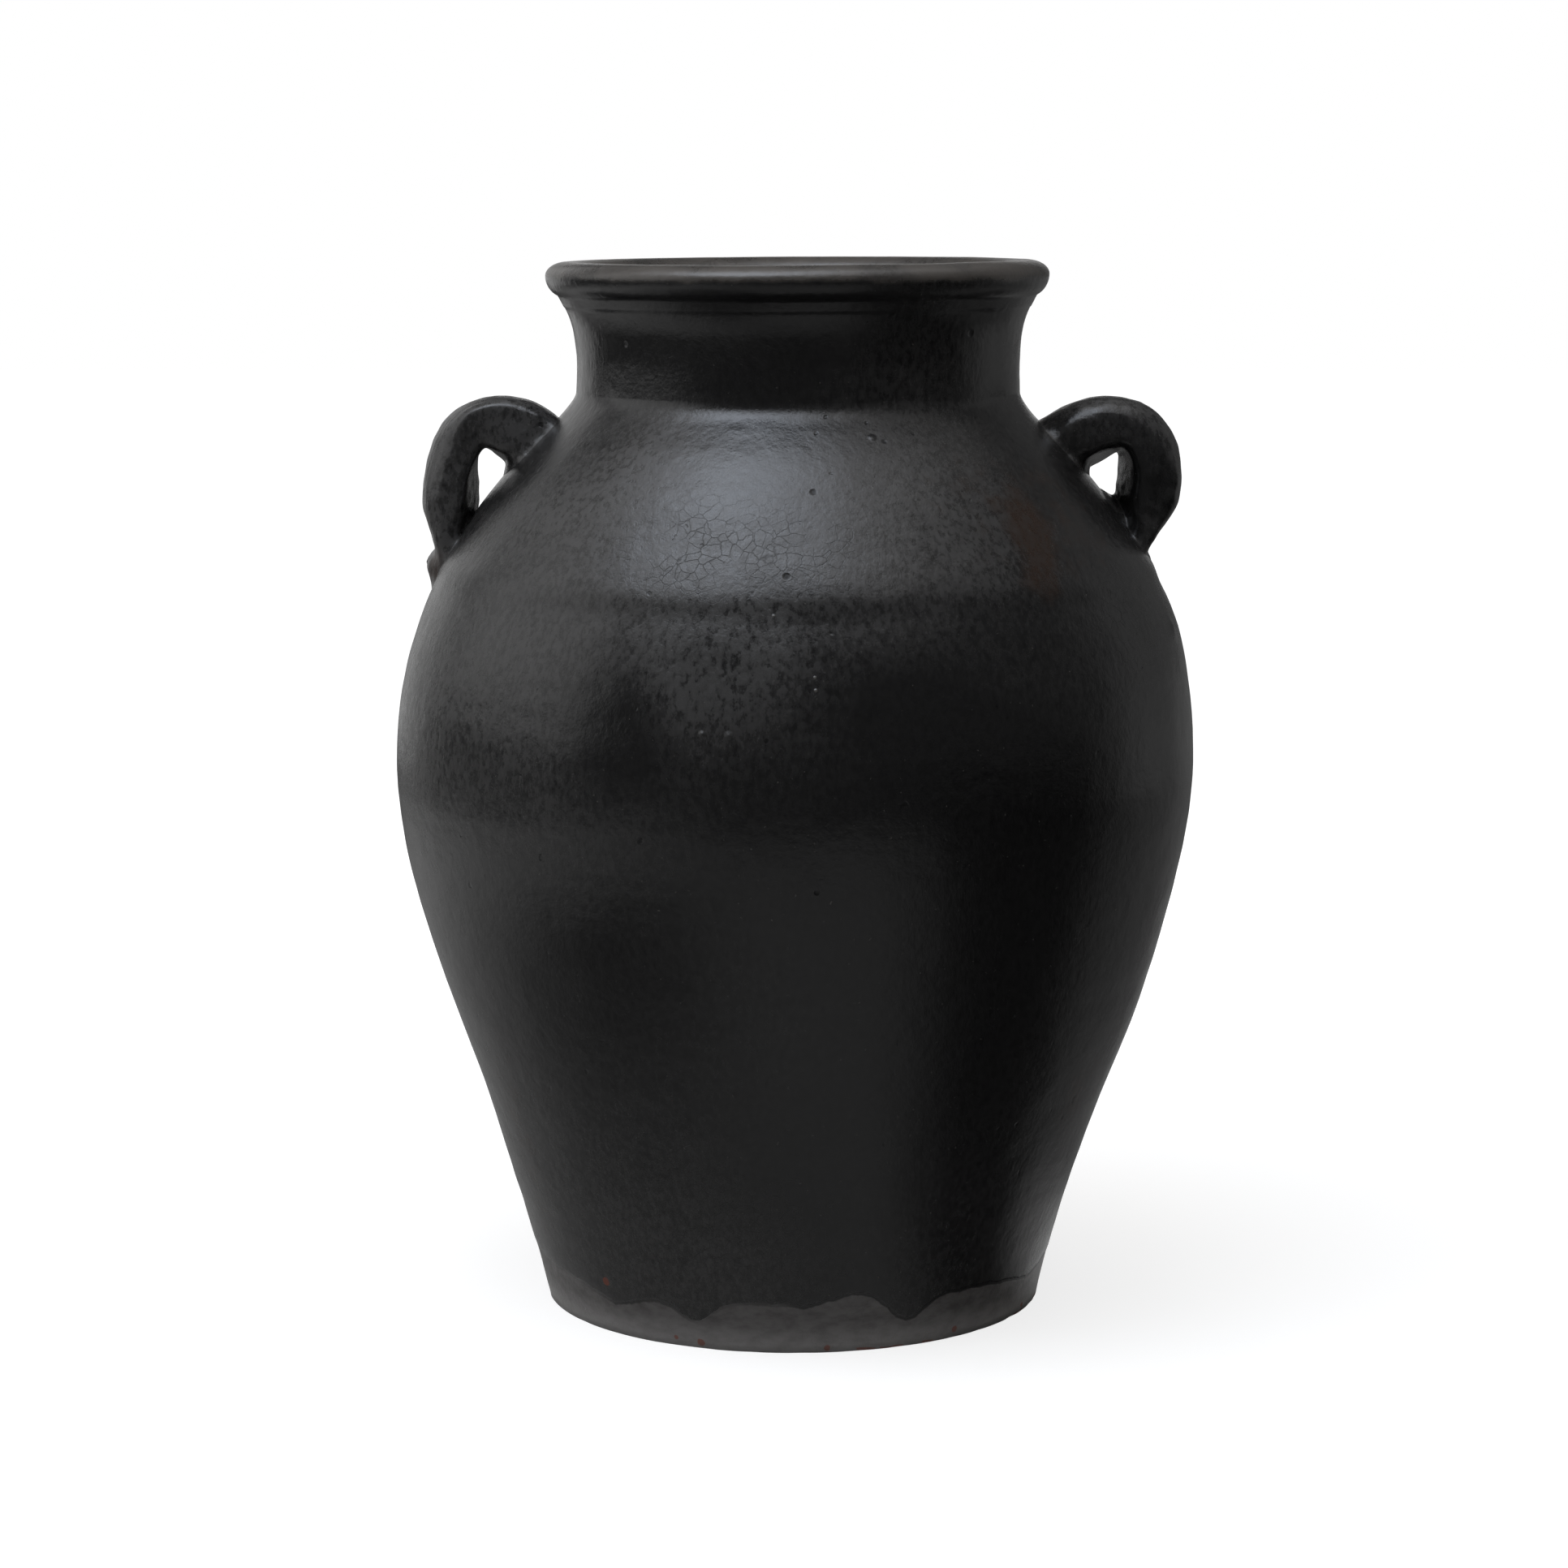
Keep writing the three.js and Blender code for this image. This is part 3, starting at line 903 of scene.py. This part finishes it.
# %% Flaws
# (azimuth in degrees, height in mm, size in mm)
FLAWS = {
    "pit": [(3.0, 345, 3.2), (-1.6, 314.3, 3.2), (-48, 398.5, 3), (47.8, 403, 3.2), (2.8, 196.8, 2.4),
            (-21, 215, 2.6), (19.5, 363.2, 3.0), (-150, 330, 3.4), (120, 250, 3.0), (175, 200, 3.2)],
    "grain": [(-3.4, 300.3, 1.5), (2.5, 277.9, 1.5), (2.6, 273.2, 1.7), (-5, 383, 1.3), (160, 300, 1.6)],
    "lump": [(17.0, 364.6, 4.0), (-4.0, 418, 5.0), (-9.1, 256.2, 4.2), (-12.7, 256.6, 3.2), (-130, 180, 5)],
    "chip": [(-20.5, 108.4, 1.5), (-27, 3.2, 3.4), (-21, 2.2, 5.0), (7.5, 1.8, 4.0), (39, 3.2, 4.5),
             (66, 2.5, 4.0), (-44, 22.5, 5.0), (140, 2, 5.0), (-120, 2, 4.5), (-165, 3, 4)],
}
# Flaws above this height lie on the rolled rim.
RIM_FLAWS_FROM = 409


def flaw_mask(finish, kind):
    """1 on the flaws of a kind, each at its own place on the wall."""
    mask = 0.0
    for azimuth, height, size in FLAWS[kind]:
        angle = math.radians(azimuth)
        if height < RIM_FLAWS_FROM:
            centre = on_wall(angle, height * MM, 0)
        else:
            centre = around(angle) * (RIM_RADIUS - 0.5 * MM) + Vector((0, 0, height * MM))
        centre.x += LEAN * (centre.z - BELLY.y)
        mask = finish.spot(centre, size * MM, 0.0 if kind == "lump" else 0.2) + mask
    return mask


print(sum(len(spots) for spots in FLAWS.values()), "flaws placed")


# %% [markdown]
# Four things lie over the glaze of the shell. The lip is rubbed to a dull grey brown. Pits, grains and
# lumps sit in the glaze. Below its wavy edge the clay is bare under a pale wash, with a dark line of
# shade where the glaze hangs over it. The edge of the foot is chipped down to the red clay. Each is
# a function that takes the layers so far and lays its own mask over them.

# %% Worn lip
LIP_WEAR = (0.088, 0.078, 0.068, 1)
LIP_BROWN = (0.040, 0.024, 0.018, 1)


def worn_lip(finish, colour, rough, thin, height_up):
    ragged = height_up + (finish.noise(45, 4, roughness=0.6) - 0.5) * 0.006
    lip = finish.ramp(ragged, RIM_TOP - 8 * MM, RIM_TOP - 5.5 * MM)
    lip = lip * (finish.ramp(finish.noise(34, 5, roughness=0.65), 0.34, 0.62) * 0.6 + 0.4)
    colour = finish.blend(colour, LIP_WEAR, lip * 0.8)
    colour = finish.blend(colour, LIP_BROWN, lip * thin)
    return colour, rough + lip * 0.09


# %% Pits, grains and lumps
def flawed(finish, colour, rough, height):
    pit = flaw_mask(finish, "pit")
    grain = flaw_mask(finish, "grain")
    lump = flaw_mask(finish, "lump")
    colour = finish.blend(finish.blend(colour, CRACK_AND_SHADE, pit), DUST, grain * 0.8)
    rough = rough + pit * 0.25 + lump * 0.08
    height = height - pit * 1.6 + grain * 1.5 + lump * 3.0
    return colour, rough, height


# %% Bare foot
WASH = (0.280, 0.268, 0.260, 1)
WASH_DARK = (0.055, 0.050, 0.047, 1)


def bare_foot(finish, colour, rough, height, height_up):
    gap = finish.attribute("above_edge") + (finish.noise(230, 3) - 0.5) * 2.2
    bare = 1 - finish.ramp(gap, -0.2, 0.2)
    # Painted shade: a dark line just below the glaze edge, where the glaze hangs over the bare clay.
    under = finish.ramp(gap, -1.7, -0.9) * (1 - finish.ramp(gap, 0.1, 0.6))
    under = under * (finish.ramp(finish.noise(13, 2), 0.36, 0.5) * 0.8 + 0.2)
    wiped = finish.ramp(finish.noise(1, 4, finish.meridian(14, 260), roughness=0.6), 0.30, 0.75)
    wash = finish.blend(WASH, WASH_DARK, wiped * 0.26 + finish.ramp(height_up, 0.0005, 0.015) * 0.7)
    colour = finish.blend(finish.blend(colour, wash, bare), CRACK_AND_SHADE, under * 0.9)
    rough = rough + bare * 0.12
    height = height - bare * 0.9 - under * 0.9
    return colour, rough, height


# %% Chips on the edge of the foot
def chipped_foot(finish, colour, rough, height_up):
    low = 1 - finish.ramp(height_up + finish.noise(60, 4) * 0.004, 0.0026, 0.0036)
    torn = finish.ramp(finish.noise(26, 3), 0.54, 0.60)
    crumbs = finish.noise(420, 3) * 1.1 - 0.55
    chip = finish.ramp(flaw_mask(finish, "chip") + low * torn + crumbs, 0.45, 0.85)
    colour = finish.blend(colour, RED_CLAY, chip * 0.65)
    return colour, rough + chip * 0.25


# %% Glaze of the shell
SHELL_GLOSS = 0.175


def shell_glaze():
    finish = Finish("black_glaze")
    streaks = finish.ramp(finish.noise(1, 4, finish.meridian(95, 42), roughness=0.6), 0.35, 0.68)
    # The film attribute holds dust film and painted sheen.
    film_and_sheen = finish.attribute("film_and_sheen")
    thin = finish.ramp(finish.attribute("thin") + (finish.noise(120, 4) - 0.5) * 0.9, 0.35, 0.95)
    crazed = finish.attribute("crazed")
    height_up = finish.axis("Z")
    colour, rough, height = glaze_layers(finish, SHELL_GLOSS, film_and_sheen, thin, crazed, streaks)
    colour, rough = worn_lip(finish, colour, rough, thin, height_up)
    colour, rough, height = flawed(finish, colour, rough, height)
    colour, rough, height = bare_foot(finish, colour, rough, height, height_up)
    colour, rough = chipped_foot(finish, colour, rough, height_up)
    surface(finish, colour, rough, height)
    return finish.material


# %% Glaze of the handles
HANDLE_GLOSS = 0.15
BROWN_PATCH = (-0.148, -0.012, 0.304)
BROWN_SIZE = 22 * MM


def handle_glaze():
    finish = Finish("handle_glaze")
    streaks = finish.ramp(finish.noise(1, 3, finish.stretched(60, 620, 60)), 0.35, 0.70)
    thin = finish.spot(BROWN_PATCH, BROWN_SIZE) * finish.ramp(finish.noise(140, 4), 0.35, 0.6)
    # The film attribute of the handles holds dust film and painted sheen.
    film_and_sheen = finish.attribute("film_and_sheen")
    colour, rough, height = glaze_layers(finish, HANDLE_GLOSS, film_and_sheen, thin, 0.0, streaks)
    surface(finish, colour, rough, height + streaks * 0.15)
    return finish.material


shell.data.materials.append(shell_glaze())
glossy_black = handle_glaze()
for handle in (right_handle, left_handle):
    handle.data.materials.append(glossy_black)
print("glazed", len(bpy.data.materials), "finishes")

# %% [markdown]
# ## Floor, backdrop and light
#
# The jar was photographed for a catalogue: a very large soft box overhead and to the left, white
# reflectors on the left, a weaker one on the right, a dark room in front, and white paper behind.
# The box is brightest in the middle and fades outwards, so it is built of lamps laid over each other,
# each larger and dimmer than the last. It makes the pale window on the shoulder, the reflectors light
# the flanks, and the paper gives the thin bright line down both sides. The floor and the world are
# white for the camera alone. What the glaze mirrors of them is dimmer: a dark room, and a grey floor
# that is darkest far away and in front on the right, has a hollow of shade in front on the left, and
# is paler at both sides and close to the foot.

# %% Floor
FLOOR_GREY = (0.45, 0.45, 0.45, 1)
WHITE = (1, 1, 1, 1)
NOTHING = (0, 0, 0, 1)

stage_mesh = bmesh.new()
bmesh.ops.create_grid(stage_mesh, x_segments=1, y_segments=1, size=8)
floor_data = bpy.data.meshes.new("floor")
stage_mesh.to_mesh(floor_data)
stage_mesh.free()
floor = bpy.data.objects.new("floor", floor_data)
scene.collection.objects.link(floor)
print("the floor is", floor.dimensions.x, "m across")

# %% What is seen of the floor
HOLLOW = (-0.28, -0.26, 0)
floor_finish = Finish("pale_floor")
seen = floor_finish.node("ShaderNodeLightPath", output="Is Camera Ray")
mirrored = floor_finish.node("ShaderNodeLightPath", output="Is Glossy Ray")
distance = floor_finish.vector("LENGTH", floor_finish.place, output=1)
to_right = floor_finish.axis("X")
to_back = floor_finish.axis("Y")
hollow = floor_finish.vector("DISTANCE", floor_finish.place, HOLLOW, output=1)
glow = floor_finish.ramp(distance, 0.35, 1.0) * 0.24 + 0.76
bearing = distance.math("DIVIDE", to_right, distance)
near = 1 - floor_finish.ramp(distance, 0.5, 1.4) * 0.80
near = near * (1 - floor_finish.ramp(bearing, 0.32, 0.78) * 0.93)
near = near * (floor_finish.ramp(hollow, 0.02, 0.30) * 0.68 + 0.32)
left_side = floor_finish.ramp(0.0 - to_right, 0.3, 0.75) * (1 - floor_finish.ramp(distance, 0.7, 1.9))
right_side = floor_finish.ramp(to_right, 0.35, 0.7) * floor_finish.ramp(to_back, -0.1, 0.3)
by_the_foot = floor_finish.ramp(to_right, 0.09, 0.12) * floor_finish.ramp(to_back, -0.07, 0.0)
close = (1 - floor_finish.ramp(distance, 0.12, 0.22)) * 0.28
farther = (1 - floor_finish.ramp(distance, 0.25, 1.0)) * 0.13
dim_floor = near * 0.31 + left_side * 0.31 + right_side * 0.12 + by_the_foot * (close + farther)
floor_finish.set("Base Color", floor_finish.blend(FLOOR_GREY, NOTHING, mirrored))
floor_finish.set("Roughness", 0.8)
floor_finish.set("Specular IOR Level", 0.0)
floor_finish.set("Emission Color", floor_finish.blend(NOTHING, WHITE, seen * glow + mirrored * dim_floor))
floor_finish.set("Emission Strength", 1.0)
floor_data.materials.append(floor_finish.material)
print("the floor has", len(floor_finish.tree.nodes), "nodes")


# %% Lamps
def soft_box(name, place, target, width, height, radiance, colour=(1, 1, 1)):
    """An area lamp given by how bright its face looks, where 1 is white."""
    data = bpy.data.lights.new(name, "AREA")
    data.shape = "RECTANGLE"
    data.size = width
    data.size_y = height
    data.energy = radiance * math.pi * width * height
    data.color = colour
    lamp = bpy.data.objects.new(name, data)
    lamp.location = place
    lamp.rotation_euler = (Vector(target) - Vector(place)).to_track_quat("-Z", "Y").to_euler()
    lamp.visible_camera = False
    scene.collection.objects.link(lamp)


def overhead(name, left, right, front, back, height, radiance, colour):
    """A level soft box over the jar, from its edges in metres."""
    x, y = (left + right) / 2, (front + back) / 2
    soft_box(name, (x, y, height), (x, y, 0), right - left, back - front, radiance, colour)


overhead("overhead_heart", -0.62, -0.22, -0.46, -0.20, 1.45, 2.0, (0.80, 0.88, 1.0))
overhead("overhead_core", -0.80, 0.02, -0.78, -0.16, 1.50, 1.66, (0.73, 0.84, 1.0))
overhead("overhead_box", -0.95, 0.22, -0.92, 0.04, 1.55, 1.60, (0.82, 0.88, 1.0))
overhead("overhead_halo", -1.2, 0.62, -1.04, 0.30, 1.60, 0.9, (0.98, 0.98, 1.0))
overhead("ceiling", -1.5, 1.2, -1.25, 0.9, 1.65, 0.25, (1.0, 0.98, 0.95))
soft_box("left_reflector", (-1.5, -0.09, 1.08), (0, -0.09, 1.08), 1.7, 1.36, 0.80)
soft_box("left_back_reflector", (-1.03, 1.47, 0.72), (0, 0, 0.72), 1.1, 1.44, 0.56)
soft_box("right_reflector", (1.40, 0.54, 0.6), (0, 0, 0.6), 0.55, 1.2, 0.17)
soft_box("right_back_reflector", (1.08, 1.04, 0.6), (0, 0, 0.6), 0.6, 1.2, 0.05)
print(len(bpy.data.lights), "lamps")

# %% World
SKY = 0.22
ROOM = 0.085
PAPER = 0.93

# The glaze mirrors the paper only where it looks this nearly straight back.
PAPER_EDGE = 0.955
PAPER_FULL = 0.995

world = bpy.data.worlds.new("studio")
scene.world = world
studio = Tree(world)
direction = studio.node("ShaderNodeTexCoord", output="Generated")
backwards = studio.node("ShaderNodeSeparateXYZ", {}, {0: direction}, output="Y")
paper = studio.ramp(backwards, PAPER_EDGE, PAPER_FULL)
glossy = studio.node("ShaderNodeLightPath", output="Is Glossy Ray")
camera_ray = studio.node("ShaderNodeLightPath", output="Is Camera Ray")
room = SKY + glossy * (ROOM - SKY) + glossy * paper * PAPER
backdrop = studio.tree.nodes["Background"]
studio.plug(backdrop.inputs["Color"], WHITE)
studio.plug(backdrop.inputs["Strength"], room * (1 - camera_ray) + camera_ray)
scene.view_settings.view_transform = "Standard"
print("the world has", len(studio.tree.nodes), "nodes")
